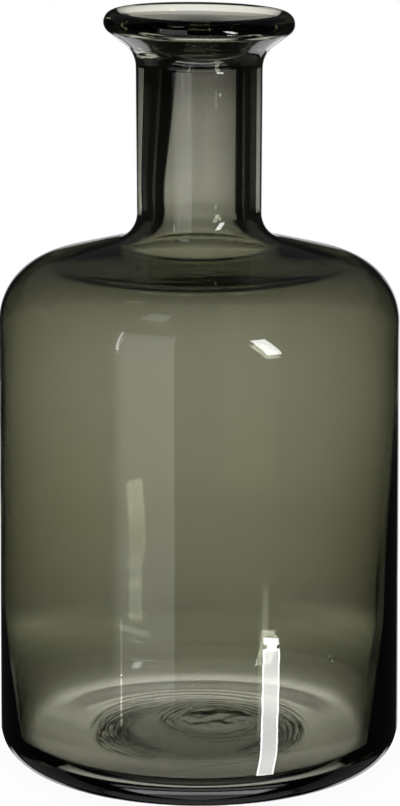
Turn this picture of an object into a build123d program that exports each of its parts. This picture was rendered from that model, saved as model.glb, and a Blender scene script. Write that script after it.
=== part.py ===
from build123d import *
import os
from math import cos, radians, sin, tan

os.makedirs("parts", exist_ok=True)

# Outside of the bottle, in millimetres and degrees
height = 300.0
body_radius = 80.0
heel_radius = 14.5
shoulder_height = 197.6
shoulder_radius = 25.5
shoulder_slope = 15.0
neck_root_radius = 11.4
neck_radius = 24.8

# Lip, a flared collar that ends in a round bead
lip_bead_radius = 4.5
lip_ring_radius = 32.7
lip_underside_slope = 37.0
lip_flare_radius = 11.6
lip_inside_turn = 45.0

# Glass thickness, thin at the shoulder and thick in the neck, heel and base
body_wall = 4.0
shoulder_wall = 3.4
neck_wall = 6.4
base_thickness = 13.4

# Slanted inside corners, each cut back by about half the round that it stands for
inside_heel_slant = 10.0
inside_shoulder_slant = 9.5
inside_root_slant = 7.5

# Kick-up under the base, with the pontil mark a little off its centre
kick_up_radius = 50.0
kick_up_top_radius = 31.0
kick_up_height = 4.8
pontil_radius = 16.0
pontil_drop = 1.1
pontil_offset_x = 6.0
pontil_offset_y = 8.5
pontil_scar_radius = 9.0
pontil_scar_depth = 0.7


def corner(sketch, radius, level):
    """The corner of a profile that lies nearest to a radius and a level."""
    return sketch.vertices().sort_by_distance(Vector(radius, level, 0))[0]


# Outside corners that follow from the sizes above
shoulder_rise = tan(radians(shoulder_slope))
neck_root_height = shoulder_height + (body_radius - neck_radius) * shoulder_rise
lip_ring_height = height - lip_bead_radius
bead_low_radius = lip_ring_radius + lip_bead_radius * sin(radians(lip_underside_slope))
bead_low_height = lip_ring_height - lip_bead_radius * cos(radians(lip_underside_slope))
collar_height = bead_low_height - (bead_low_radius - neck_radius) * tan(radians(lip_underside_slope))

# Inside corners, one wall away from the outside
inside_radius = body_radius - body_wall
bore_radius = neck_radius - neck_wall
shoulder_drop = shoulder_wall / cos(radians(shoulder_slope))
inside_shoulder_height = shoulder_height + body_wall * shoulder_rise - shoulder_drop
inside_root_height = inside_shoulder_height + (inside_radius - bore_radius) * shoulder_rise
bead_high_radius = lip_ring_radius - lip_bead_radius * sin(radians(lip_inside_turn))
bead_high_height = lip_ring_height + lip_bead_radius * cos(radians(lip_inside_turn))
throat_height = bead_high_height - (bead_high_radius - bore_radius) * tan(radians(lip_inside_turn))

# Outer form: kick-up, heel, straight body, sloping shoulder, neck and flared lip
with BuildSketch(Plane.XZ) as outer_profile:
    with BuildLine():
        Polyline(
            (0, kick_up_height),
            (kick_up_top_radius, kick_up_height),
            (kick_up_radius, 0),
            (body_radius, 0),
            (body_radius, shoulder_height),
            (neck_radius, neck_root_height),
            (neck_radius, collar_height),
            (bead_low_radius, bead_low_height),
            (lip_ring_radius, lip_ring_height),
            (bead_high_radius, bead_high_height),
            (0, bead_high_height),
            (0, kick_up_height),
        )
    make_face()
    fillet(corner(outer_profile, body_radius, 0), heel_radius)
    fillet(corner(outer_profile, body_radius, shoulder_height), shoulder_radius)
    fillet(corner(outer_profile, neck_radius, neck_root_height), neck_root_radius)
    fillet(corner(outer_profile, neck_radius, collar_height), lip_flare_radius)
    with Locations((lip_ring_radius, lip_ring_height)):
        Circle(lip_bead_radius)

# Inner form: floor, slanted heel, body, shoulder, bore and funnel mouth
with BuildSketch(Plane.XZ) as inner_profile:
    with BuildLine():
        Polyline(
            (0, base_thickness),
            (inside_radius, base_thickness),
            (inside_radius, inside_shoulder_height),
            (bore_radius, inside_root_height),
            (bore_radius, throat_height),
            (bead_high_radius, bead_high_height),
            (bead_high_radius, height),
            (0, height),
            (0, base_thickness),
        )
    make_face()
    chamfer(corner(inner_profile, inside_radius, base_thickness), inside_heel_slant)
    chamfer(corner(inner_profile, inside_radius, inside_shoulder_height), inside_shoulder_slant)
    chamfer(corner(inner_profile, bore_radius, inside_root_height), inside_root_slant)

# Pontil mark, where the iron was broken off the base, as a low disc with a hollow scar
with BuildPart() as pontil_mark:
    pontil_face = kick_up_height - pontil_drop
    pontil_plane = Plane(origin=(pontil_offset_x, pontil_offset_y, pontil_face))
    with BuildSketch(pontil_plane):
        Circle(pontil_radius)
    extrude(amount=base_thickness / 2 - pontil_face)
    with BuildSketch(pontil_plane):
        Circle(pontil_scar_radius)
    extrude(amount=pontil_scar_depth, mode=Mode.SUBTRACT)

# The bottle is one blown piece of glass
with BuildPart() as glass_bottle:
    add(outer_profile.sketch)
    revolve(axis=Axis.Z)
    add(inner_profile.sketch)
    revolve(axis=Axis.Z, mode=Mode.SUBTRACT)
    add(pontil_mark.part)

glass_bottle.part.label = "glass_bottle"
export_step(glass_bottle.part, "parts/glass_bottle.step")
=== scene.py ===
import logging
import math
from collections.abc import Callable, Sequence
from dataclasses import dataclass, field
from enum import Enum

import bpy
from mathutils import Matrix, Vector, noise


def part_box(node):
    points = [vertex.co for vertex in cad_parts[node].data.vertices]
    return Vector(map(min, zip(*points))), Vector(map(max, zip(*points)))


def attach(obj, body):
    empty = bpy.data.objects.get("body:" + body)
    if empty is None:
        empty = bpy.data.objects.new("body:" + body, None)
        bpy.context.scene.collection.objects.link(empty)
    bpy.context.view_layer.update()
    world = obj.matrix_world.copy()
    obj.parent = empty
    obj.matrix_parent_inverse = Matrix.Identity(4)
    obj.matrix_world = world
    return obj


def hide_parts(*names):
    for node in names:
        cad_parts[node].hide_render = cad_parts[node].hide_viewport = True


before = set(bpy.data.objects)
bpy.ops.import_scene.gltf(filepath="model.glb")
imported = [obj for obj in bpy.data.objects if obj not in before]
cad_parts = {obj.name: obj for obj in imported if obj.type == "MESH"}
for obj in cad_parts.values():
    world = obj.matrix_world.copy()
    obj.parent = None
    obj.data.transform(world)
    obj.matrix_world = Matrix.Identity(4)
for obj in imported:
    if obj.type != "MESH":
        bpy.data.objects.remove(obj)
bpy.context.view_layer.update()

log = logging.getLogger("bottle_vase")

MM = 0.001
NODE = "glass_bottle"
BODY = "root"

# Points closer than this, in millimetres, are one point
TOUCHING = 0.01

# How often light may pass through glass or be mirrored
GLASS_BOUNCES = 24
MIRROR_BOUNCES = 12

Point = tuple[float, float]
Place = tuple[float, float, float]
Colour = tuple[float, float, float]
Socket = bpy.types.NodeSocket

WHITE: Colour = (1.0, 1.0, 1.0)


# Outline


@dataclass(frozen=True)
class Corner:
    """A corner of the outline, in millimetres, and the round that softens it.

    Args:
        radius: Distance from the axis.
        height: Height above the surface that the vase stands on.
        rounding: Radius of the arc that replaces the corner, or 0 for none.
        steps: Number of straight bits that the arc is drawn with.
        spacing: Longest bit of the straight run that leads to this corner.
    """

    radius: float
    height: float
    rounding: float = 0.0
    steps: int = 1
    spacing: float = 4.0

    @property
    def place(self) -> Vector:
        """The corner as a vector of radius and height."""
        return Vector((self.radius, self.height))


def arc(centre: Point, radius: float, start: float, end: float, steps: int) -> list[Point]:
    """Points along an arc.

    Args:
        centre: Centre of the arc.
        radius: Radius of the arc.
        start: Angle of the first point, in degrees from the outward direction.
        end: Angle of the last point.
        steps: Number of straight bits.

    Returns:
        The points, the first and the last among them.
    """
    angles = [math.radians(start + (end - start) * i / steps) for i in range(steps + 1)]
    return [(centre[0] + radius * math.cos(a), centre[1] + radius * math.sin(a)) for a in angles]


def rounded_corner(before: Corner, corner: Corner, after: Corner) -> list[Point]:
    """The points that stand for one corner.

    Args:
        before: The corner before it.
        corner: The corner itself.
        after: The corner after it.

    Returns:
        The points of its arc, or the corner alone where it isn't rounded.
    """
    if corner.rounding <= 0.0:
        return [(corner.radius, corner.height)]
    back = (before.place - corner.place).normalized()
    ahead = (after.place - corner.place).normalized()
    half = back.angle(ahead) / 2
    setback = corner.rounding / math.tan(half)
    centre = corner.place + (back + ahead).normalized() * (corner.rounding / math.sin(half))
    first = corner.place + back * setback - centre
    last = corner.place + ahead * setback - centre
    turn = first.angle_signed(last)
    points = []
    for i in range(corner.steps + 1):
        angle = -turn * i / corner.steps
        spoke = Matrix.Rotation(angle, 2) @ first
        points.append((centre.x + spoke.x, centre.y + spoke.y))
    return points


def rounded_outline(corners: Sequence[Corner]) -> list[Point]:
    """An outline with its corners rounded and its long straight runs divided.

    Args:
        corners: The corners in order, of which the first and last stay sharp.

    Returns:
        The points of the outline.
    """
    points: list[Point] = []
    for i, corner in enumerate(corners):
        if i in (0, len(corners) - 1):
            found = [(corner.radius, corner.height)]
        else:
            found = rounded_corner(corners[i - 1], corner, corners[i + 1])
        if points:
            start, stop = Vector(points[-1]), Vector(found[0])
            bits = max(1, math.ceil((stop - start).length / corner.spacing))
            points += [tuple(start.lerp(stop, k / bits)) for k in range(1, bits)]
            if (stop - start).length < TOUCHING:
                found = found[1:]
        points += found
    return points


@dataclass(frozen=True)
class BottleOutline:
    """Half of the vase cut through its axis, in millimetres and degrees.

    The overall height and the radius at the foot come from the CAD node's box.
    """

    height: float
    foot_radius: float
    shoulder_taper: float = 1.4
    heel_radius: float = 13.9
    shoulder_height: float = 197.9
    shoulder_radius: float = 25.5
    shoulder_slope: float = 14.6
    neck_root_radius: float = 11.4
    neck_radius_at_root: float = 24.35
    neck_radius_at_top: float = 24.7
    bead_radius: float = 4.5
    bead_steps: int = 24
    lip_ring_radius: float = 32.7
    lip_underside_slope: float = 37.0
    lip_flare_radius: float = 11.6
    lip_inside_turn: float = 45.0
    mouth_flare_radius: float = 14.0
    body_wall: float = 1.5
    shoulder_wall_at_edge: float = 1.5
    shoulder_wall_at_root: float = 5.0
    inside_shoulder_radius: float = 24.0
    neck_wall: float = 6.5
    base_thickness: float = 9.3
    inside_heel_radius: float = 7.5
    resting_width: float = 1.0
    foot_hollow: float = 0.3
    swirl_radius: float = 52.0

    @property
    def slope(self) -> float:
        """Rise of the shoulder over its run."""
        return math.tan(math.radians(self.shoulder_slope))

    @property
    def body_top_radius(self) -> float:
        """Radius of the body where it meets the shoulder."""
        return self.foot_radius - self.shoulder_taper

    @property
    def bead_centre(self) -> Point:
        """Centre of the round bead at the lip's edge."""
        return self.lip_ring_radius, self.height - self.bead_radius

    def bead(self) -> list[Point]:
        """The bead from the lip's underside over its top to the mouth."""
        start, end = self.lip_underside_slope - 90.0, 90.0 + self.lip_inside_turn
        return arc(self.bead_centre, self.bead_radius, start, end, self.bead_steps)

    def outside(self) -> list[Point]:
        """The outer surface.

        Returns:
            Its points, from the middle of the underside to the bead.
        """
        low_radius, low_height = self.bead()[0]
        rise = math.tan(math.radians(self.lip_underside_slope))
        collar_height = low_height - (low_radius - self.neck_radius_at_top) * rise
        root_height = self.shoulder_height + (self.body_top_radius - self.neck_radius_at_root) * self.slope
        corners = [
            Corner(0.0, self.foot_hollow),
            Corner(self.swirl_radius, self.foot_hollow, spacing=0.85),
            Corner(self.foot_radius - self.heel_radius - self.resting_width, 0.0, spacing=3.0),
            Corner(self.foot_radius, 0.0, self.heel_radius, steps=20),
            Corner(self.body_top_radius, self.shoulder_height, self.shoulder_radius, steps=20, spacing=10.0),
            Corner(self.neck_radius_at_root, root_height, self.neck_root_radius, steps=13, spacing=5.0),
            Corner(self.neck_radius_at_top, collar_height, self.lip_flare_radius, steps=9, spacing=8.0),
            Corner(low_radius, low_height),
        ]
        return rounded_outline(corners)

    def inside(self) -> list[Point]:
        """The inner surface.

        Returns:
            Its points, from the mouth down to the middle of the floor.
        """
        high_radius, high_height = self.bead()[-1]
        rise = math.tan(math.radians(self.lip_inside_turn))
        bore = self.neck_radius_at_top - self.neck_wall
        throat_height = high_height - (high_radius - bore) * rise
        bore_at_root = self.neck_radius_at_root - self.neck_wall
        top = self.body_top_radius - self.body_wall
        foot = self.foot_radius - self.body_wall
        lean = math.cos(math.radians(self.shoulder_slope))
        edge_height = self.shoulder_height + self.body_wall * self.slope - self.shoulder_wall_at_edge / lean
        root_height = self.shoulder_height + (self.body_top_radius - bore_at_root) * self.slope
        root_height -= self.shoulder_wall_at_root / lean
        root_rounding = self.neck_root_radius + self.neck_wall
        corners = [
            Corner(high_radius, high_height),
            Corner(bore, throat_height, self.mouth_flare_radius, steps=8),
            Corner(bore_at_root, root_height, root_rounding, steps=13, spacing=8.0),
            Corner(top, edge_height, self.inside_shoulder_radius, steps=18, spacing=5.0),
            Corner(foot, self.base_thickness, self.inside_heel_radius, steps=18, spacing=7.0),
            Corner(0.0, self.base_thickness, spacing=6.0),
        ]
        return rounded_outline(corners)


# Shader nodes


class Blend(Enum):
    """How a colour is laid over another one, as a Mix node names it."""

    COVER = "MIX"
    # Multiplies the colour under it, which darkens it: lays the painted front shade and the darker middle of
    # the underside
    STAIN = "MULTIPLY"


@dataclass(frozen=True)
class Wiring:
    """Adds nodes to a node tree and links them.

    Args:
        tree: The node tree.
    """

    tree: bpy.types.NodeTree

    def add(self, kind: str) -> bpy.types.Node:
        """Adds a node of one kind."""
        return self.tree.nodes.new(kind)

    def feed(self, socket: Socket, value: Socket | float | Sequence[float]) -> None:
        """Gives an input its value.

        Args:
            socket: The input.
            value: A number, a vector, or the output that it is linked to.
        """
        if isinstance(value, Socket):
            self.tree.links.new(value, socket)
        else:
            socket.default_value = value

    def maths(self, operation: str, *values: Socket | float) -> Socket:
        """Adds a calculation with numbers.

        Args:
            operation: The calculation, as a Math node names it.
            values: What it is done with, in order.

        Returns:
            The result.
        """
        node = self.add("ShaderNodeMath")
        node.operation = operation
        for socket, value in zip(node.inputs, values):
            self.feed(socket, value)
        return node.outputs["Value"]

    def vector_maths(self, operation: str, *values: Socket | Colour) -> Socket:
        """Adds a calculation with vectors or colours.

        Args:
            operation: The calculation, as a Vector Math node names it.
            values: What it is done with, in order.

        Returns:
            The result.
        """
        node = self.add("ShaderNodeVectorMath")
        node.operation = operation
        for socket, value in zip(node.inputs, values):
            self.feed(socket, value)
        return node.outputs["Vector"]

    def product(self, *factors: Socket | float) -> Socket:
        """Multiplies numbers or masks.

        Args:
            factors: The factors, of which the first is a socket.

        Returns:
            Their product.
        """
        total = factors[0]
        for factor in factors[1:]:
            total = self.maths("MULTIPLY", total, factor)
        return total

    def distance(self, x: Socket, y: Socket) -> Socket:
        """Works out how far a place lies from the middle."""
        return self.maths("SQRT", self.maths("ADD", self.product(x, x), self.product(y, y)))

    def gap(self, value: Socket, place: float) -> Socket:
        """Works out how far a value is from a place, to either side."""
        return self.maths("ABSOLUTE", self.maths("SUBTRACT", value, place))

    def soft_step(self, value: Socket, start: float, full: float) -> Socket:
        """Adds a soft step from 0 to 1.

        Args:
            value: The value that it reads.
            start: Value at which the step starts.
            full: Value at which it is full, above the start or below it.

        Returns:
            The step.
        """
        node = self.add("ShaderNodeMapRange")
        node.interpolation_type = "SMOOTHSTEP"
        self.feed(node.inputs["Value"], value)
        self.feed(node.inputs["From Min"], start)
        self.feed(node.inputs["From Max"], full)
        return node.outputs["Result"]

    def axes(self, vector: Socket) -> tuple[Socket, ...]:
        """Takes a vector apart.

        Args:
            vector: The vector.

        Returns:
            Its x, y and z.
        """
        node = self.add("ShaderNodeSeparateXYZ")
        self.feed(node.inputs["Vector"], vector)
        return tuple(node.outputs[axis] for axis in "XYZ")

    def vector(self, *parts: Socket) -> Socket:
        """Puts a vector together.

        Args:
            parts: Its x, y and z.

        Returns:
            The vector.
        """
        node = self.add("ShaderNodeCombineXYZ")
        for axis, part in zip("XYZ", parts):
            self.feed(node.inputs[axis], part)
        return node.outputs["Vector"]

    def noise(self, place: Socket, scale: float, detail: float) -> Socket:
        """Adds soft noise.

        Args:
            place: Where it is read.
            scale: Its scale.
            detail: How much finer noise it carries.

        Returns:
            The noise, from 0 to 1.
        """
        node = self.add("ShaderNodeTexNoise")
        self.feed(node.inputs["Vector"], place)
        self.feed(node.inputs["Scale"], scale)
        self.feed(node.inputs["Detail"], detail)
        return node.outputs["Fac"]

    def lay(self, mask: Socket, over: Colour, under: Socket, blend: Blend) -> Socket:
        """Lays a colour over another one.

        Args:
            mask: Where it is laid.
            over: The colour on top.
            under: The colour below.
            blend: How it is laid.

        Returns:
            The mixed colour.
        """
        node = self.add("ShaderNodeMix")
        node.data_type = "RGBA"
        node.blend_type = blend.value
        self.feed(node.inputs["Factor"], mask)
        self.feed(node.inputs["A"], under)
        self.feed(node.inputs["B"], (*over, 1.0))
        return node.outputs["Result"]

    def group(self, tree: bpy.types.NodeTree, place: Socket) -> bpy.types.Node:
        """Puts a node group in that reads a place on the glass.

        Args:
            tree: The group.
            place: The place.

        Returns:
            The group's node.
        """
        node = self.add("ShaderNodeGroup")
        node.node_tree = tree
        self.feed(node.inputs["Position"], place)
        return node


def place_group(name: str, outputs: dict[str, str]) -> tuple[Wiring, Socket, bpy.types.Node]:
    """Starts a node group that reads a place on the glass.

    Args:
        name: Name of the group.
        outputs: Names of its outputs and their kinds of socket.

    Returns:
        Its wiring, the socket with the place and the node that takes the outputs.
    """
    tree = bpy.data.node_groups.new(name, "ShaderNodeTree")
    tree.interface.new_socket("Position", in_out="INPUT", socket_type="NodeSocketVector")
    for output, kind in outputs.items():
        tree.interface.new_socket(output, in_out="OUTPUT", socket_type=kind)
    wiring = Wiring(tree)
    entry = wiring.add("NodeGroupInput")
    return wiring, entry.outputs["Position"], wiring.add("NodeGroupOutput")


# Finish


@dataclass(frozen=True)
class TintStop:
    """The tint that the glass has at one height.

    Args:
        height: Height above the foot, in millimetres.
        colour: Light that one wall lets through, as linear red, green and blue.
    """

    height: float
    colour: Colour


@dataclass(frozen=True)
class Patch:
    """A round patch about the axis, low in the glass, laid over the tint, in millimetres.

    Args:
        reach: Radius within which it is full and radius at which it ends.
        below: Height below which it lies.
        colour: Its colour.
        blend: How it is laid over the tint.
    """

    reach: Point
    below: float
    colour: Colour
    blend: Blend

    def mask(self, wiring: Wiring, radius: Socket, z: Socket) -> Socket:
        """Adds the patch's place.

        Args:
            wiring: Wiring that it goes into.
            radius: Distance from the axis, in metres.
            z: Height.

        Returns:
            The mask.
        """
        full, end = self.reach
        within = wiring.soft_step(radius, end * MM, full * MM)
        return wiring.product(within, wiring.maths("LESS_THAN", z, self.below * MM))


@dataclass(frozen=True)
class PaintedFrontShade:
    """Painted shade: the glass's tint darkened low at the front, in millimetres.

    Args:
        back: Places to the back at which it starts and is full.
        height: Heights at which it starts and is full.
        colour: Light that it lets through.
    """

    back: Point = (-25.0, -60.0)
    height: Point = (20.0, 12.0)
    colour: Colour = (0.6, 0.6, 0.6)

    def mask(self, wiring: Wiring, y: Socket, z: Socket) -> Socket:
        """Adds the shade's place.

        Args:
            wiring: Wiring that it goes into.
            y: Place to the back, in metres.
            z: Height.

        Returns:
            The mask.
        """
        (back, full_back), (top, full_top) = self.back, self.height
        front = wiring.soft_step(y, back * MM, full_back * MM)
        return wiring.product(front, wiring.soft_step(z, top * MM, full_top * MM))


@dataclass(frozen=True)
class DrawnLineHighlight:
    """A fine line drawn up the front of the body, in millimetres, its lighter colour a painted highlight.

    Args:
        place: Its place to the right.
        half_width: Half its width.
        height: Heights of its lower and upper end.
        fade: How far its ends fade.
        colour: Light that it lets through.
    """

    place: float = -29.6
    half_width: float = 0.55
    height: Point = (33.0, 77.0)
    fade: float = 1.0
    colour: Colour = (0.8, 0.8, 0.72)

    def mask(self, wiring: Wiring, x: Socket, y: Socket, z: Socket) -> Socket:
        """Adds the line's place.

        Args:
            wiring: Wiring that it goes into.
            x: Place to the right, in metres.
            y: Place to the back.
            z: Height.

        Returns:
            The mask.
        """
        bottom, top = self.height
        return wiring.product(
            wiring.soft_step(wiring.gap(x, self.place * MM), self.half_width * MM, 0.0),
            wiring.soft_step(z, bottom * MM, (bottom + self.fade) * MM),
            wiring.soft_step(z, top * MM, (top - self.fade) * MM),
            wiring.soft_step(y, self.fade * MM, -self.fade * MM),
        )


@dataclass(frozen=True)
class Swirl:
    """Fine streaks drawn round a place on the underside, in millimetres.

    Args:
        place: Their centre.
        inner_edge: Radii at which they start and are full.
        outer_edge: Radii at which they end and are still full.
        spacing: Distance from streak to streak.
        turns: How often the streaks break along their circle.
        spiral: How far they drift off their circle.
        height: Their height.
        sides: How far to the sides the streaks start and are full, as shares of their radius.
        detail: How much finer streaks they carry.
        below: Height below which they lie.
    """

    place: Point
    inner_edge: Point
    outer_edge: Point
    spacing: float
    turns: float
    spiral: float
    height: float
    sides: Point = (-1.0, -0.5)
    detail: float = 1.5
    below: float = 6.0

    def relief(self, wiring: Wiring, x: Socket, y: Socket, z: Socket) -> Socket:
        """Adds the streaks.

        Args:
            wiring: Wiring that they go into.
            x: Place to the right, in metres.
            y: Place to the back.
            z: Height.

        Returns:
            Their relief in metres.
        """
        away = wiring.maths("SUBTRACT", x, self.place[0] * MM)
        back = wiring.maths("SUBTRACT", y, self.place[1] * MM)
        radius = wiring.distance(away, back)
        spoke = wiring.maths("MAXIMUM", radius, MM)
        cosine = wiring.maths("DIVIDE", away, spoke)
        sine = wiring.maths("DIVIDE", back, spoke)
        count = wiring.maths("DIVIDE", radius, self.spacing * MM)
        rolled = wiring.vector(
            wiring.maths("ADD", count, wiring.product(sine, self.spiral)),
            wiring.product(cosine, self.turns),
            wiring.product(sine, self.turns),
        )
        start, full = (edge * MM for edge in self.inner_edge)
        end, still_full = (edge * MM for edge in self.outer_edge)
        mask = wiring.product(
            wiring.soft_step(radius, start, full),
            wiring.soft_step(radius, end, still_full),
            wiring.soft_step(wiring.maths("ABSOLUTE", cosine), *self.sides),
            wiring.maths("LESS_THAN", z, self.below * MM),
        )
        streaks = wiring.noise(rolled, 1.0, self.detail)
        return wiring.product(wiring.maths("SUBTRACT", streaks, 0.5), self.height * MM, mask)


@dataclass(frozen=True)
class Flaw:
    """A small flaw on the front of the body: a seed or the bead of a drawn line, in millimetres.

    Args:
        place: Its place to the right and its height.
        half_size: Half its width and half its height.
        height: How far it stands out.
    """

    place: Point
    half_size: Point
    height: float

    def relief(self, wiring: Wiring, x: Socket, z: Socket, front: Socket) -> Socket:
        """Adds the flaw.

        Args:
            wiring: Wiring that it goes into.
            x: Place to the right, in metres.
            z: Height.
            front: Mask of the front of the body.

        Returns:
            Its relief in metres.
        """
        return wiring.product(
            wiring.soft_step(wiring.gap(x, self.place[0] * MM), self.half_size[0] * MM, 0.0),
            wiring.soft_step(wiring.gap(z, self.place[1] * MM), self.half_size[1] * MM, 0.0),
            front,
            self.height * MM,
        )


@dataclass(frozen=True)
class SmokeGlass:
    """Finish of the blown smoke glass.

    Args:
        name: Name of the material.
        ior: Index of refraction.
        slant_gain: How much the tint deepens where the wall is met at a slant.
        depth_colour: Tint of the thick glass.
        depth_density: How fast that tint deepens, for each metre.
        smear_roughness: Roughness of the smears.
        smear_noise: Noise at which the smears start and are full.
        ripple_scale: Scale of the ripple, for each metre.
        ripple_detail: How much finer ripple it carries.
        ripple_height: Height of the ripple, in millimetres.
        front: Painted shade low at the front.
        line: Fine drawn line up the body, lighter as a painted highlight.
        stops: Tint from the foot to the lip; its darker stops low at the foot are partly painted shade.
        patches: The clear base and a darker round patch in the middle of the underside.
        flaws: Seeds and beads of the body.
        swirls: Streaks of the underside.
    """

    name: str = "smoke_glass"
    ior: float = 1.5
    slant_gain: float = 1.45
    depth_colour: Colour = (0.42, 0.43, 0.30)
    depth_density: float = 30.0
    smear_roughness: float = 0.012
    smear_noise: Point = (0.35, 0.75)
    ripple_scale: float = 28.0
    ripple_detail: float = 1.0
    ripple_height: float = 0.04
    front: PaintedFrontShade = PaintedFrontShade()
    line: DrawnLineHighlight = DrawnLineHighlight()
    stops: tuple[TintStop, ...] = (
        # The two lowest stops are darker partly as painted shade low on the walls
        TintStop(18.0, (0.165, 0.168, 0.13)),
        TintStop(28.0, (0.215, 0.22, 0.172)),
        TintStop(36.0, (0.28, 0.286, 0.228)),
        TintStop(44.0, (0.37, 0.376, 0.31)),
        TintStop(75.0, (0.415, 0.42, 0.326)),
        TintStop(105.0, (0.455, 0.46, 0.362)),
        TintStop(150.0, (0.50, 0.505, 0.41)),
        TintStop(185.0, (0.475, 0.48, 0.39)),
        TintStop(205.0, (0.445, 0.453, 0.36)),
        TintStop(232.0, (0.645, 0.65, 0.58)),
        TintStop(258.0, (0.585, 0.585, 0.525)),
        TintStop(276.0, (0.42, 0.42, 0.375)),
        TintStop(287.0, (0.55, 0.55, 0.49)),
    )
    patches: tuple[Patch, ...] = (
        Patch((66.0, 78.0), 22.0, (1.0, 0.995, 0.98), Blend.COVER),
        # Darker round patch in the middle of the underside
        Patch((30.0, 47.0), 6.0, (0.2, 0.2, 0.2), Blend.STAIN),
    )
    flaws: tuple[Flaw, ...] = (
        Flaw((-29.6, 54.5), (0.6, 0.9), 0.08),
        Flaw((-23.0, 203.0), (0.6, 0.8), 0.12),
        Flaw((6.2, 203.0), (0.5, 0.7), 0.12),
        Flaw((-31.0, 124.5), (0.7, 1.2), 0.12),
        Flaw((51.0, 56.0), (0.6, 0.8), 0.15),
        Flaw((50.0, 58.5), (0.4, 0.6), 0.12),
    )
    swirls: tuple[Swirl, ...] = (
        Swirl((0.0, 0.0), (25.0, 31.0), (47.0, 41.0), 1.1, 2.2, 2.5, 1.1, (0.35, 0.95)),
        Swirl((7.3, 10.7), (13.0, 19.0), (28.0, 22.0), 1.5, 1.6, 1.5, 0.45),
    )

    def tint_by_height(self, wiring: Wiring, z: Socket, height: float) -> Socket:
        """Adds the tint from the foot to the lip.

        Args:
            wiring: Wiring that it goes into.
            z: Height of the place, in metres.
            height: Height of the vase.

        Returns:
            The tint.
        """
        ramp = wiring.add("ShaderNodeValToRGB")
        ramp.color_ramp.interpolation = "EASE"
        elements = ramp.color_ramp.elements
        while len(elements) < len(self.stops):
            elements.new(1.0)
        for element, stop in zip(elements, self.stops):
            element.position = stop.height * MM / height
            element.color = (*stop.colour, 1.0)
        wiring.feed(ramp.inputs["Fac"], wiring.maths("DIVIDE", z, height))
        return ramp.outputs["Color"]

    def tint_group(self, height: float) -> bpy.types.NodeTree:
        """Builds the node group that gives the tint at a place on the glass.

        Args:
            height: Height of the vase in metres.

        Returns:
            The group, from Position to Tint.
        """
        wiring, place, leave = place_group("tint_by_place", {"Tint": "NodeSocketColor"})
        x, y, z = wiring.axes(place)
        radius = wiring.distance(x, y)
        tint = self.tint_by_height(wiring, z, height)
        for patch in self.patches:
            tint = wiring.lay(patch.mask(wiring, radius, z), patch.colour, tint, patch.blend)
        # Painted shade: the tint darkened low at the front
        tint = wiring.lay(self.front.mask(wiring, y, z), self.front.colour, tint, Blend.STAIN)
        # The drawn line, made lighter as a painted highlight
        tint = wiring.lay(self.line.mask(wiring, x, y, z), self.line.colour, tint, Blend.COVER)
        wiring.feed(leave.inputs["Tint"], tint)
        return wiring.tree

    def surface_group(self) -> bpy.types.NodeTree:
        """Builds the node group of the faint ripple, the smears, the swirls and the flaws.

        Returns:
            The group, from Position to Height in metres and Roughness.
        """
        outputs = {"Height": "NodeSocketFloat", "Roughness": "NodeSocketFloat"}
        wiring, place, leave = place_group("blown_surface", outputs)
        x, y, z = wiring.axes(place)
        ripple = wiring.noise(place, self.ripple_scale, self.ripple_detail)
        smear = wiring.add("ShaderNodeMapRange")
        wiring.feed(smear.inputs["Value"], ripple)
        wiring.feed(smear.inputs["From Min"], self.smear_noise[0])
        wiring.feed(smear.inputs["From Max"], self.smear_noise[1])
        wiring.feed(smear.inputs["To Max"], self.smear_roughness)
        wiring.feed(leave.inputs["Roughness"], smear.outputs["Result"])
        total = wiring.product(ripple, self.ripple_height * MM)
        for swirl in self.swirls:
            total = wiring.maths("ADD", total, swirl.relief(wiring, x, y, z))
        front = wiring.maths("LESS_THAN", y, 0.0)
        for flaw in self.flaws:
            total = wiring.maths("ADD", total, flaw.relief(wiring, x, z, front))
        wiring.feed(leave.inputs["Height"], total)
        return wiring.tree

    def slanted_path(self, wiring: Wiring) -> Socket:
        """Adds how much longer the way through the wall is where it is met at a slant.

        Args:
            wiring: Wiring of the material.

        Returns:
            The length, which is 1 for a wall met head-on.
        """
        facing = wiring.add("ShaderNodeLayerWeight").outputs["Facing"]
        cosine = wiring.maths("SUBTRACT", 1.0, facing)
        sine_squared = wiring.maths("SUBTRACT", 1.0, wiring.product(cosine, cosine))
        bent_squared = wiring.maths("DIVIDE", sine_squared, self.ior**2)
        bent_cosine = wiring.maths("SQRT", wiring.maths("SUBTRACT", 1.0, bent_squared))
        longer = wiring.maths("SUBTRACT", wiring.maths("DIVIDE", 1.0, bent_cosine), 1.0)
        return wiring.maths("ADD", wiring.product(longer, self.slant_gain), 1.0)

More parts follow.
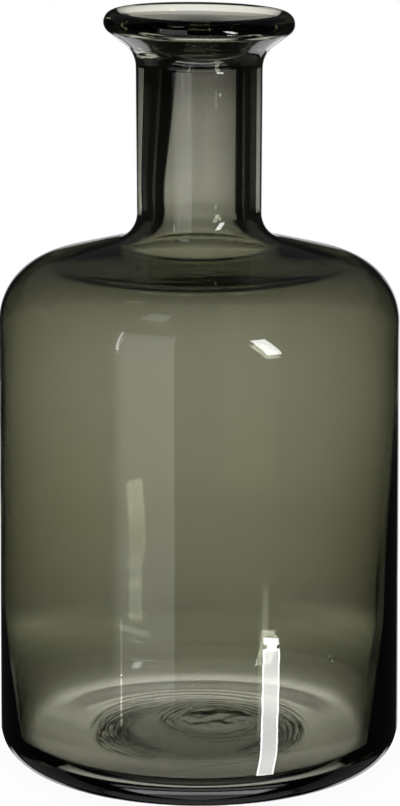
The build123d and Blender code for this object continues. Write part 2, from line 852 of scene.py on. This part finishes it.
    def material(self, height: float) -> bpy.types.Material:
        """Builds the glass.

        Args:
            height: Height of the vase in metres.

        Returns:
            The material.
        """
        material = bpy.data.materials.new(self.name)
        material.use_nodes = True
        wiring = Wiring(material.node_tree)
        shader = wiring.tree.nodes["Principled BSDF"]
        place = wiring.add("ShaderNodeTexCoord").outputs["Object"]
        tint = wiring.group(self.tint_group(height), place)
        surface = wiring.group(self.surface_group(), place)
        deeper = wiring.add("ShaderNodeGamma")
        wiring.feed(deeper.inputs["Color"], tint.outputs["Tint"])
        wiring.feed(deeper.inputs["Gamma"], self.slanted_path(wiring))
        bump = wiring.add("ShaderNodeBump")
        wiring.feed(bump.inputs["Strength"], 1.0)
        wiring.feed(bump.inputs["Distance"], 1.0)
        wiring.feed(bump.inputs["Height"], surface.outputs["Height"])
        wiring.feed(shader.inputs["IOR"], self.ior)
        wiring.feed(shader.inputs["Transmission Weight"], 1.0)
        wiring.feed(shader.inputs["Base Color"], deeper.outputs["Color"])
        wiring.feed(shader.inputs["Roughness"], surface.outputs["Roughness"])
        wiring.feed(shader.inputs["Normal"], bump.outputs["Normal"])
        depth = wiring.add("ShaderNodeVolumeAbsorption")
        wiring.feed(depth.inputs["Color"], (*self.depth_colour, 1.0))
        wiring.feed(depth.inputs["Density"], self.depth_density)
        wiring.feed(wiring.tree.nodes["Material Output"].inputs["Volume"], depth.outputs["Volume"])
        return material


# Vase


def smooth_step(start: float, full: float, value: float) -> float:
    """A soft step.

    Args:
        start: Value at which it is 0.
        full: Value at which it is 1, above the start or below it.
        value: Value that it is read at.

    Returns:
        The step.
    """
    share = min(max((value - start) / (full - start), 0.0), 1.0)
    return share * share * (3.0 - 2.0 * share)


def bell(value: float, centre: float, width: float) -> float:
    """A bell curve of height 1 about a centre."""
    return math.exp(-(((value - centre) / width) ** 2))


@dataclass(frozen=True)
class Underside:
    """Relief of the underside: a swirl, fine rings and the hollow scar of the pontil, in millimetres.

    Args:
        reach: Radius at which the relief ends.
        reach_fade: How far inside it the relief fades.
        pontil_place: Centre of the pontil mark.
        pontil_radius: Radius of the mark.
        pontil_hollow: Depth of its hollow.
        pontil_hollow_radius: Radius within which the hollow is full.
        patch_size: Size of the lumps in the mark.
        patch_height: Height of the lumps.
        patch_radius: Radius within which they are full.
        patch_cut: Level at which the noise of the lumps is cut.
        ring_inner_edge: Radii about the mark at which the rings start and are full.
        ring_outer_edge: Radii at which they end and are still full.
        ring_spacing: Distance from ring to ring.
        ring_height: Height of the rings.
        ring_wander: How far the rings wander, in radians of their wave.
        ring_wander_size: Width over which they wander.
        swirl_inner_edge: Radii about the axis at which the swirl starts and is full.
        swirl_outer_edge: Radii at which it ends and is still full.
        swirl_height: Height of its streaks.
        swirl_spacing: Distance from streak to streak.
        swirl_turns: How often the streaks break along their circle.
        swirl_drift: How far the streaks drift outwards for each radian.
        swirl_least: Share of their height that the streaks keep before and behind the axis.
        swirl_turned: How far the swirl is turned, in radians.
        swirl_focus: Power that keeps the streaks to the sides.
        ridges: Radius and height of each ridge at the swirl's rim.
        ridge_width: Half the width of a ridge.
        ridge_wander: How far the ridges are off their circle.
        ridge_turned: Where they are so, in radians.
    """

    reach: float = 50.0
    reach_fade: float = 3.0
    pontil_place: Point = (7.3, 10.7)
    pontil_radius: float = 16.5
    pontil_hollow: float = 0.55
    pontil_hollow_radius: float = 7.5
    patch_size: float = 6.0
    patch_height: float = 0.44
    patch_radius: float = 11.5
    patch_cut: float = 3.1
    ring_inner_edge: Point = (8.0, 15.0)
    ring_outer_edge: Point = (34.0, 22.0)
    ring_spacing: float = 2.7
    ring_height: float = 0.035
    ring_wander: float = 2.0
    ring_wander_size: float = 9.0
    swirl_inner_edge: Point = (27.0, 35.0)
    swirl_outer_edge: Point = (46.0, 42.0)
    swirl_height: float = 0.11
    swirl_spacing: float = 2.2
    swirl_turns: float = 2.9
    swirl_drift: float = 3.0
    swirl_least: float = 0.15
    swirl_turned: float = 0.12
    swirl_focus: int = 3
    ridges: tuple[Point, ...] = ((43.5, 0.05), (47.5, 0.03))
    ridge_width: float = 0.9
    ridge_wander: float = 0.8
    ridge_turned: float = 0.7

    def streaks(self, radius: float, angle: float, spacing: float) -> float:
        """Noise drawn out along circles.

        Args:
            radius: Distance from the middle of the circles.
            angle: Angle about it.
            spacing: Distance from streak to streak.

        Returns:
            The noise, about 0.
        """
        along = (self.swirl_turns * math.cos(angle), self.swirl_turns * math.sin(angle))
        return 2.0 * noise.noise(Vector((radius / spacing, *along)))

    def scar(self, x: float, y: float) -> float:
        """Hollow scar of the pontil, its rough patch and the rings round it.

        Args:
            x: Place to the right.
            y: Place to the back.

        Returns:
            The height.
        """
        right, back = x - self.pontil_place[0], y - self.pontil_place[1]
        near, turn = math.hypot(right, back), math.atan2(back, right)
        total = self.pontil_hollow * smooth_step(self.pontil_radius, self.pontil_hollow_radius, near)
        rough = noise.noise(Vector((x / self.patch_size, y / self.patch_size, self.patch_cut)))
        total += self.patch_height * rough * smooth_step(self.pontil_radius, self.patch_radius, near)
        belt = smooth_step(*self.ring_inner_edge, near) * smooth_step(*self.ring_outer_edge, near)
        wander = self.ring_wander * self.streaks(near, turn, self.ring_wander_size)
        return total + belt * self.ring_height * math.sin(math.tau * near / self.ring_spacing + wander)

    def swirl(self, radius: float, angle: float) -> float:
        """Streaks of the swirl, strongest to the sides, and the ridges at its rim.

        Args:
            radius: Distance from the axis.
            angle: Angle about it.

        Returns:
            The height.
        """
        side = abs(math.cos(angle - self.swirl_turned)) ** self.swirl_focus
        side = self.swirl_least + (1.0 - self.swirl_least) * side
        belt = smooth_step(*self.swirl_inner_edge, radius) * smooth_step(*self.swirl_outer_edge, radius)
        streaks = self.streaks(radius + self.swirl_drift * angle, angle, self.swirl_spacing)
        total = belt * side * self.swirl_height * streaks
        wander = self.ridge_wander * math.sin(angle + self.ridge_turned)
        for place, rise in self.ridges:
            total += rise * bell(radius + wander, place, self.ridge_width)
        return total

    def height(self, x: float, y: float) -> float:
        """Height of the relief over the plain underside.

        Args:
            x: Place to the right.
            y: Place to the back.

        Returns:
            The height.
        """
        radius = math.hypot(x, y)
        if radius > self.reach:
            return 0.0
        fade = smooth_step(self.reach, self.reach - self.reach_fade, radius)
        return fade * (self.scar(x, y) + self.swirl(radius, math.atan2(y, x)))


@dataclass
class GlassBottle:
    """The blown bottle: one closed shell of glass, in millimetres.

    Args:
        outline: Its outline, from which it is spun.
        finish: Its glass.
        name: Name of the piece.
        spin_steps: Number of steps in which it is spun.
        lip_drop: How much lower the lip is on the right.
        lip_drop_from: Height from which the neck tilts.
        lip_depth: Depth under the top at which the tilt is full.
        heel_thick_below: Height below which the wall thickens towards the heel.
        heel_thickening: How much thicker it is half way down.
        heel_curve: Power by which it thickens.
        side_thick_below: Height below which the wall thickens on the right.
        side_thick_from: Height at which it is fully thicker there.
        side_thickening: How much thicker it is.
        side_focus: Power that keeps this to the right.
        bore_lean: How much the neck's left wall thickens for each millimetre up.
        bore_lean_height: Height at which it is as thick as the right one.
        bore_lean_focus: Power that keeps this to the left.
        bore_start: Heights at which the lean starts and is full.
        bore_end: Heights at which it ends and is still full.
        ripple_depth: How far the inner wall wanders.
        ripple_size: Size of its waves.
        underside_below: Height below which the outside is the underside.
        relief: Relief of the underside.
        piece: The piece, once it is drawn.
    """

    outline: BottleOutline
    finish: SmokeGlass
    name: str = "blown_bottle"
    spin_steps: int = 288
    lip_drop: float = 1.0
    lip_drop_from: float = 252.0
    lip_depth: float = 12.0
    heel_thick_below: float = 62.0
    heel_thickening: float = 1.7
    heel_curve: float = 1.5
    side_thick_below: float = 150.0
    side_thick_from: float = 60.0
    side_thickening: float = 2.0
    side_focus: int = 8
    bore_lean: float = 0.036
    bore_lean_height: float = 240.0
    bore_lean_focus: float = 1.5
    bore_start: Point = (218.0, 230.0)
    bore_end: Point = (290.0, 284.0)
    ripple_depth: float = 0.08
    ripple_size: float = 55.0
    underside_below: float = 1.0
    relief: Underside = Underside()
    piece: bpy.types.Object = field(init=False)

    def build(self) -> bpy.types.Object:
        """Blows, shapes and dresses the bottle.

        Returns:
            The finished piece.
        """
        self.draw_outline()
        self.spin()
        self.thin_unevenly()
        self.move_points(self.blown_shape)
        self.dress()
        return self.piece

    def draw_outline(self) -> None:
        """Draws the outline as a chain of edges, extruded point by point."""
        outside = self.outline.outside() + self.outline.bead()[1:]
        chain = outside + self.outline.inside()[1:]
        bpy.ops.object.select_all(action="DESELECT")
        bpy.ops.mesh.primitive_plane_add(size=MM, location=(0.0, 0.0, 0.0))
        self.piece = bpy.context.object
        self.piece.name = self.name
        self.piece.data.name = self.name
        bpy.ops.object.mode_set(mode="EDIT")
        bpy.ops.mesh.select_all(action="SELECT")
        bpy.ops.mesh.merge(type="CENTER")
        radius, height = chain[0]
        bpy.ops.transform.translate(value=(radius * MM, 0.0, height * MM))
        for (r0, z0), (r1, z1) in zip(chain, chain[1:]):
            step = ((r1 - r0) * MM, 0.0, (z1 - z0) * MM)
            bpy.ops.mesh.extrude_vertices_move(TRANSFORM_OT_translate={"value": step})
        bpy.ops.object.mode_set(mode="OBJECT")
        inside = self.piece.vertex_groups.new(name="inside")
        inside.add(list(range(len(outside), len(chain))), 1.0, "REPLACE")
        log.info("outline: %d points, %d of them outside", len(chain), len(outside))

    def spin(self) -> None:
        """Turns the outline about the axis and closes its seam and poles."""
        turn = self.piece.modifiers.new("turned", "SCREW")
        turn.axis = "Z"
        turn.angle = math.tau
        turn.steps = turn.render_steps = self.spin_steps
        turn.use_merge_vertices = True
        turn.merge_threshold = TOUCHING * MM
        bpy.ops.object.modifier_apply(modifier=turn.name)
        bpy.ops.object.mode_set(mode="EDIT")
        bpy.ops.mesh.select_all(action="SELECT")
        bpy.ops.mesh.remove_doubles(threshold=TOUCHING * MM)
        bpy.ops.mesh.normals_make_consistent(inside=False)
        bpy.ops.object.mode_set(mode="OBJECT")

    def thin_unevenly(self) -> None:
        """Makes the inner wall wander a little, as it does on blown glass."""
        drift = bpy.data.textures.new("wall_drift", "CLOUDS")
        drift.noise_scale = self.ripple_size * MM
        wander = self.piece.modifiers.new("uneven_wall", "DISPLACE")
        wander.texture = drift
        wander.texture_coords = "LOCAL"
        wander.vertex_group = "inside"
        wander.strength = 2.0 * self.ripple_depth * MM
        wander.mid_level = 0.5
        bpy.context.view_layer.objects.active = self.piece
        bpy.ops.object.modifier_apply(modifier=wander.name)

    def move_points(self, shift: Callable[[float, float, float, bool], Vector]) -> None:
        """Moves each point of the mesh by a rule.

        Args:
            shift: Gives the shift of a point from its place and whether it lies inside.
        """
        group = self.piece.vertex_groups["inside"].index
        for vertex in self.piece.data.vertices:
            within = any(g.group == group and g.weight > 0.5 for g in vertex.groups)
            place = vertex.co / MM
            vertex.co = (place + shift(place.x, place.y, place.z, within)) * MM
        self.piece.data.update()

    def blown_shape(self, x: float, y: float, z: float, within: bool) -> Vector:
        """How far the hand-blown shape departs from a perfectly turned one.

        Args:
            x: Place to the right.
            y: Place to the back.
            z: Height.
            within: Whether the point lies on the inner wall.

        Returns:
            The shift.
        """
        shift = Vector((0.0, 0.0, 0.0))
        lip_radius = self.outline.lip_ring_radius + self.outline.bead_radius
        tilt = smooth_step(self.lip_drop_from, self.outline.height - self.lip_depth, z)
        shift.z -= self.lip_drop * tilt * (x + lip_radius) / (2.0 * lip_radius)
        if within:
            shift += self.wall_shift(x, y, z)
        elif z < self.underside_below:
            shift.z += self.relief.height(x, y)
        return shift

    def wall_shift(self, x: float, y: float, z: float) -> Vector:
        """How the inner wall moves where the blown wall is thicker or thinner.

        Args:
            x: Place to the right.
            y: Place to the back.
            z: Height.

        Returns:
            The shift.
        """
        radius = max(math.hypot(x, y), TOUCHING)
        rightward = x / radius
        heel = max(self.heel_thick_below - z, 0.0) / self.heel_thick_below
        thicker = self.heel_thickening * (2.0 * heel) ** self.heel_curve
        side = smooth_step(self.side_thick_below, self.side_thick_from, z)
        thicker += self.side_thickening * side * ((1.0 + rightward) / 2.0) ** self.side_focus
        reach = self.outline.foot_radius - self.outline.body_wall
        thicker *= min(radius / reach, 1.0) if z < self.side_thick_below else 0.0
        in_neck = smooth_step(*self.bore_start, z) * smooth_step(*self.bore_end, z)
        lean = self.bore_lean * (z - self.bore_lean_height)
        thicker += in_neck * lean * max(-rightward, 0.0) ** self.bore_lean_focus
        return Vector((-thicker * x / radius, -thicker * y / radius, 0.0))

    def dress(self) -> None:
        """Shades the bottle smooth, gives it its glass, ties it to the body and hides the CAD node."""
        bpy.ops.object.select_all(action="DESELECT")
        self.piece.select_set(True)
        bpy.context.view_layer.objects.active = self.piece
        bpy.ops.object.shade_smooth()
        self.piece.data.materials.clear()
        self.piece.data.materials.append(self.finish.material(self.outline.height * MM))
        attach(self.piece, BODY)
        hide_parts(NODE)


# Studio


class Side(Enum):
    """The side of the vase that a panel of light stands on."""

    CAMERA = "camera"
    BEHIND = "behind"


@dataclass(frozen=True)
class Panel:
    """A panel of light that the glass mirrors or shows, seen from the vase, in degrees.

    Args:
        side: Whether its azimuth is counted from the camera or from behind the vase.
        azimuth: Its left and right edges, to the camera's right.
        elevation: Its lower and upper edges.
        brightness: How bright it is, where 1 is white. A negative one darkens what is there.
        soft_sides: How wide its left and right edges fade.
        soft_ends: How wide its lower and upper edges fade.
        colour: Its colour.
        lean: How far its sides move to the right for each degree up.
        ragged: How far its sides wander.
        tear_scale: How often they wander, for each degree.
        tear_detail: How much finer wandering they carry.
    """

    side: Side
    azimuth: Point
    elevation: Point
    brightness: float
    soft_sides: Point = (0.5, 0.5)
    soft_ends: Point = (1.0, 1.0)
    colour: Colour = WHITE
    lean: float = 0.0
    ragged: float = 0.0
    tear_scale: float = 7.0
    tear_detail: float = 3.0

    def bent_azimuth(self, wiring: Wiring, azimuth: Socket, elevation: Socket) -> Socket:
        """Bends the azimuth so that the panel's sides lean and wander.

        Args:
            wiring: Wiring that it goes into.
            azimuth: Azimuth that is looked at.
            elevation: Elevation that is looked at.

        Returns:
            The azimuth that the sides are cut by.
        """
        if self.lean:
            over = wiring.maths("SUBTRACT", elevation, sum(self.elevation) / 2)
            azimuth = wiring.maths("SUBTRACT", azimuth, wiring.product(over, self.lean))
        if self.ragged:
            tear = wiring.add("ShaderNodeTexNoise")
            tear.noise_dimensions = "1D"
            wiring.feed(tear.inputs["W"], elevation)
            wiring.feed(tear.inputs["Scale"], self.tear_scale)
            wiring.feed(tear.inputs["Detail"], self.tear_detail)
            wander = wiring.maths("SUBTRACT", tear.outputs["Fac"], 0.5)
            azimuth = wiring.maths("ADD", azimuth, wiring.product(wander, self.ragged))
        return azimuth

    def light(self, wiring: Wiring, azimuth: Socket, elevation: Socket) -> Socket:
        """Adds the panel's light.

        Args:
            wiring: Wiring that it goes into.
            azimuth: Azimuth that is looked at.
            elevation: Elevation that is looked at.

        Returns:
            The light's colour.
        """
        bent = self.bent_azimuth(wiring, azimuth, elevation)
        (left, right), (low, high) = self.azimuth, self.elevation
        half_left, half_right = (width / 2 for width in self.soft_sides)
        half_low, half_high = (width / 2 for width in self.soft_ends)
        mask = wiring.product(
            wiring.soft_step(bent, left - half_left, left + half_left),
            wiring.soft_step(bent, right + half_right, right - half_right),
            wiring.soft_step(elevation, low - half_low, low + half_low),
            wiring.soft_step(elevation, high + half_high, high - half_high),
        )
        light = wiring.add("ShaderNodeVectorMath")
        light.operation = "SCALE"
        wiring.feed(light.inputs[0], tuple(self.brightness * part for part in self.colour))
        wiring.feed(light.inputs["Scale"], mask)
        return light.outputs["Vector"]


@dataclass
class Tent:
    """A dark tent round the set with panels of light in it, in metres.

    Only mirror and glass rays meet it, so it lights nothing by itself.

    Args:
        panels: The panels.
        radius: Its radius.
        middle: Its centre, about the middle of the vase.
        gloom: How bright its cloth is.
        segments: Number of its segments.
        rings: Number of its rings.
    """

    panels: tuple[Panel, ...]
    radius: float = 25.0
    middle: Place = (0.0, 0.0, 0.13)
    gloom: float = 0.012
    segments: int = 96
    rings: int = 48

    def material(self) -> bpy.types.Material:
        """Builds the tent's cloth with its panels of light.

        Returns:
            The material.
        """
        material = bpy.data.materials.new("studio_tent")
        material.use_nodes = True
        material.cycles.emission_sampling = "NONE"
        wiring = Wiring(material.node_tree)
        wiring.tree.nodes.clear()
        place = wiring.add("ShaderNodeTexCoord").outputs["Object"]
        right, back, up = wiring.axes(wiring.vector_maths("NORMALIZE", place))
        front = wiring.product(back, -1.0)
        elevation = wiring.maths("DEGREES", wiring.maths("ARCSINE", up))
        azimuth = {
            Side.CAMERA: wiring.maths("DEGREES", wiring.maths("ARCTAN2", right, front)),
            Side.BEHIND: wiring.maths("DEGREES", wiring.maths("ARCTAN2", right, back)),
        }
        total: Socket | Colour = (self.gloom, self.gloom, self.gloom)
        for panel in self.panels:
            light = panel.light(wiring, azimuth[panel.side], elevation)
            total = wiring.vector_maths("ADD", total, light)
        glow = wiring.add("ShaderNodeEmission")
        out = wiring.add("ShaderNodeOutputMaterial")
        wiring.feed(glow.inputs["Color"], total)
        wiring.feed(out.inputs["Surface"], glow.outputs["Emission"])
        return material

    def build(self, camera: bpy.types.Object) -> bpy.types.Object:
        """Puts the tent round the set, fixed to the camera as on a turntable.

        Args:
            camera: The camera that it turns with.

        Returns:
            The tent.
        """
        bpy.ops.object.select_all(action="DESELECT")
        bpy.ops.mesh.primitive_uv_sphere_add(
            segments=self.segments, ring_count=self.rings, radius=self.radius, location=self.middle
        )
        tent = bpy.context.object
        tent.name = "studio_tent"
        bpy.ops.object.shade_smooth()
        tent.data.materials.append(self.material())
        tent.visible_camera = False
        tent.visible_diffuse = False
        tent.visible_shadow = False
        tent.visible_volume_scatter = False
        tent.parent = camera
        tent.matrix_parent_inverse = camera.matrix_world.inverted()
        return tent


@dataclass(frozen=True)
class Floor:
    """The plain pale floor, which only the camera sees.

    Args:
        size: Length of its side, in metres.
        glow: How bright it is by itself, where 1 is white.
        matt: Share of the room's light that it adds, which leaves the vase's soft shadow.
    """

    size: float = 60.0
    glow: float = 0.95
    matt: float = 0.05

    def material(self) -> bpy.types.Material:
        """Builds the floor's material.

        Returns:
            The material.
        """
        material = bpy.data.materials.new("studio_floor")
        material.use_nodes = True
        material.cycles.emission_sampling = "NONE"
        wiring = Wiring(material.node_tree)
        wiring.tree.nodes.clear()
        matt = wiring.add("ShaderNodeBsdfDiffuse")
        wiring.feed(matt.inputs["Color"], (self.matt, self.matt, self.matt, 1.0))
        glow = wiring.add("ShaderNodeEmission")
        wiring.feed(glow.inputs["Strength"], self.glow)
        both = wiring.add("ShaderNodeAddShader")
        wiring.feed(both.inputs[0], matt.outputs["BSDF"])
        wiring.feed(both.inputs[1], glow.outputs["Emission"])
        out = wiring.add("ShaderNodeOutputMaterial")
        wiring.feed(out.inputs["Surface"], both.outputs["Shader"])
        return material

    def build(self) -> bpy.types.Object:
        """Lays the floor.

        Returns:
            The floor.
        """
        bpy.ops.object.select_all(action="DESELECT")
        bpy.ops.mesh.primitive_plane_add(size=self.size, location=(0.0, 0.0, 0.0))
        floor = bpy.context.object
        floor.name = "studio_floor"
        floor.data.materials.append(self.material())
        floor.visible_glossy = False
        floor.visible_transmission = False
        floor.visible_shadow = False
        return floor


@dataclass(frozen=True)
class Daylight:
    """The plain white light of the room.

    Args:
        strength: How bright it is.
    """

    strength: float = 1.0

    def build(self) -> None:
        """Fills the world with it."""
        world = bpy.data.worlds.new("studio_room")
        bpy.context.scene.world = world
        world.use_nodes = True
        wiring = Wiring(world.node_tree)
        wiring.tree.nodes.clear()
        light = wiring.add("ShaderNodeBackground")
        wiring.feed(light.inputs["Color"], (*WHITE, 1.0))
        wiring.feed(light.inputs["Strength"], self.strength)
        out = wiring.add("ShaderNodeOutputWorld")
        wiring.feed(out.inputs["Surface"], light.outputs["Background"])


@dataclass(frozen=True)
class PhotoCamera:
    """The camera at the photograph's viewing angle.

    Args:
        distance: Distance in front of the vase's axis, in metres.
        height: Height above the floor, in metres.
        aside: Distance to the right, in metres.
        pitch: How far it looks down, in degrees.
        lens: Focal length, in millimetres.
        sensor: Height of the sensor, in millimetres.
        nearest: Distance from which it sees things, in metres.
    """

    distance: float = 1.3919
    height: float = 0.4558
    aside: float = 0.0003
    pitch: float = 12.611
    lens: float = 161.0
    sensor: float = 36.0
    nearest: float = 0.01

    def build(self) -> bpy.types.Object:
        """Sets the camera up.

        Returns:
            The camera.
        """
        bpy.ops.object.camera_add(
            location=(self.aside, -self.distance, self.height),
            rotation=(math.radians(90.0 - self.pitch), 0.0, 0.0),
        )
        camera = bpy.context.object
        camera.name = "photo_camera"
        camera.data.sensor_fit = "VERTICAL"
        camera.data.sensor_height = self.sensor
        camera.data.lens = self.lens
        camera.data.clip_start = self.nearest
        bpy.context.scene.camera = camera
        bpy.context.view_layer.update()
        return camera


LILAC: Colour = (1.0, 0.985, 1.03)
PALE_GREEN: Colour = (0.95, 1.0, 0.78)

# The window and the table behind the vase, which show through the glass
BACKDROP = (
    Panel(Side.BEHIND, (-12.5, 15.5), (-47.0, 0.0), 0.48, (1.2, 1.2), (2.0, 3.4), LILAC),
    Panel(Side.BEHIND, (-12.5, 10.0), (-47.0, -7.0), 0.48, (4.0, 22.0), (2.0, 10.0), LILAC),
    Panel(Side.BEHIND, (-12.5, 15.5), (-47.0, -18.6), 0.95, (2.0, 2.0), (2.0, 1.6), LILAC),
    Panel(Side.BEHIND, (-32.0, -12.5), (-45.0, -25.0), 1.2, (4.0, 1.2), (4.0, 4.0), LILAC),
    Panel(Side.BEHIND, (15.5, 32.0), (-45.0, -25.0), 1.1, (1.2, 4.0), (4.0, 4.0), LILAC),
    Panel(Side.BEHIND, (-80.0, 80.0), (15.0, 60.0), 0.04, (4.0, 4.0), (4.0, 10.0), LILAC),
)

# The floor behind the vase, dimmer to the sides
FLOOR_BEHIND = (
    Panel(Side.BEHIND, (-89.0, 89.0), (-89.0, -62.0), 0.25, (4.0, 4.0), (4.0, 4.0)),
    Panel(Side.BEHIND, (-89.0, -40.0), (-60.0, -28.0), 0.13, (4.0, 4.0), (4.0, 4.0)),
    Panel(Side.BEHIND, (40.0, 89.0), (-60.0, -28.0), 0.13, (4.0, 4.0), (4.0, 4.0)),
)

# Windows and lamps beside the camera, mirrored in the lip, the neck, the shoulder and the body
WINDOWS = (
    Panel(Side.CAMERA, (-47.0, -14.0), (-16.6, 28.0), 1.0, (12.0, 0.5), (1.0, 4.0)),
    Panel(Side.CAMERA, (33.8, 42.8), (-6.0, 19.0), 16.0, lean=-0.36),
    Panel(Side.CAMERA, (-47.6, -46.2), (0.0, 28.0), 6.5),
    Panel(Side.CAMERA, (-48.0, -26.0), (52.0, 64.0), 1.2, (4.0, 4.0), (4.0, 4.0)),
)

# The white strip low on the right, darker in its middle, with the two parts of its head
STRIP = (
    Panel(Side.CAMERA, (34.6, 44.8), (-19.8, -15.86), 26.0, (0.5, 0.5), (0.03, 0.03), lean=1.0, ragged=1.2),
    Panel(Side.CAMERA, (35.6, 43.9), (-19.7, -15.9), -12.0, (0.4, 0.4), (0.05, 0.05), lean=1.0, ragged=1.2),
    Panel(Side.CAMERA, (38.6, 44.6), (-15.9, -15.76), 22.0, (0.5, 0.5), (0.02, 0.02), ragged=1.0),
    Panel(Side.CAMERA, (36.8, 45.8), (-15.78, -15.66), 20.0, (0.8, 0.8), (0.02, 0.02), ragged=1.0),
)

# Faint pale green second images
GHOSTS = (
    Panel(Side.CAMERA, (-40.0, -32.6), (-15.36, -14.3), 1.2, (2.0, 1.0), (0.06, 0.5), PALE_GREEN, ragged=1.5),
    Panel(Side.CAMERA, (35.4, 40.6), (-7.98, -7.48), 5.0, (0.8, 0.8), (0.1, 0.1), PALE_GREEN),
    Panel(Side.CAMERA, (36.2, 39.6), (-15.7, -14.9), 1.5, (1.6, 1.0), (0.1, 0.6), PALE_GREEN, ragged=1.5),
    Panel(Side.CAMERA, (33.6, 37.2), (-17.3, -15.6), 1.3, (0.8, 0.4), (0.4, 0.3), PALE_GREEN, 0.9, 1.0),
)

# Two short marks low on the left
MARKS = (
    Panel(Side.CAMERA, (-37.8, -33.2), (-16.15, -16.02), 5.5, (3.0, 3.0), (0.06, 0.06), lean=12.0),
    Panel(Side.CAMERA, (-46.0, -28.0), (-15.57, -15.47), 1.4, (6.0, 6.0), (0.06, 0.06), ragged=2.0),
)

# The floor before the vase, mirrored in the heel and the lip
FLOOR_BEFORE = (
    Panel(Side.CAMERA, (-60.0, 60.0), (-34.0, -22.0), 0.5, (10.0, 10.0), (3.0, 3.0)),
    Panel(Side.CAMERA, (-60.0, 60.0), (-50.0, -43.0), 1.2, (10.0, 10.0), (2.0, 2.0)),
    Panel(Side.CAMERA, (-60.0, 60.0), (-66.0, -54.0), 3.6, (10.0, 10.0), (4.0, 3.0)),
    Panel(Side.CAMERA, (-60.0, 60.0), (-89.0, -66.0), 0.7, (10.0, 10.0), (3.0, 1.0)),
)


def main() -> None:
    """Builds the set and the vase, and reports each piece."""
    logging.basicConfig(level=logging.INFO, format="%(name)s: %(message)s")
    scene = bpy.context.scene
    scene.view_settings.view_transform = "Standard"
    scene.cycles.max_bounces = GLASS_BOUNCES
    scene.cycles.transmission_bounces = GLASS_BOUNCES
    scene.cycles.glossy_bounces = MIRROR_BOUNCES
    camera = PhotoCamera().build()
    Daylight().build()
    Floor().build()
    Tent(BACKDROP + FLOOR_BEHIND + WINDOWS + STRIP + GHOSTS + MARKS + FLOOR_BEFORE).build(camera)
    low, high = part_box(NODE)
    outline = BottleOutline(height=(high.z - low.z) / MM, foot_radius=high.x / MM)
    bottle = GlassBottle(outline, SmokeGlass())
    piece = bottle.build()
    log.info("%s: %d faces", piece.name, len(piece.data.polygons))


if __name__ == "__main__":
    main()
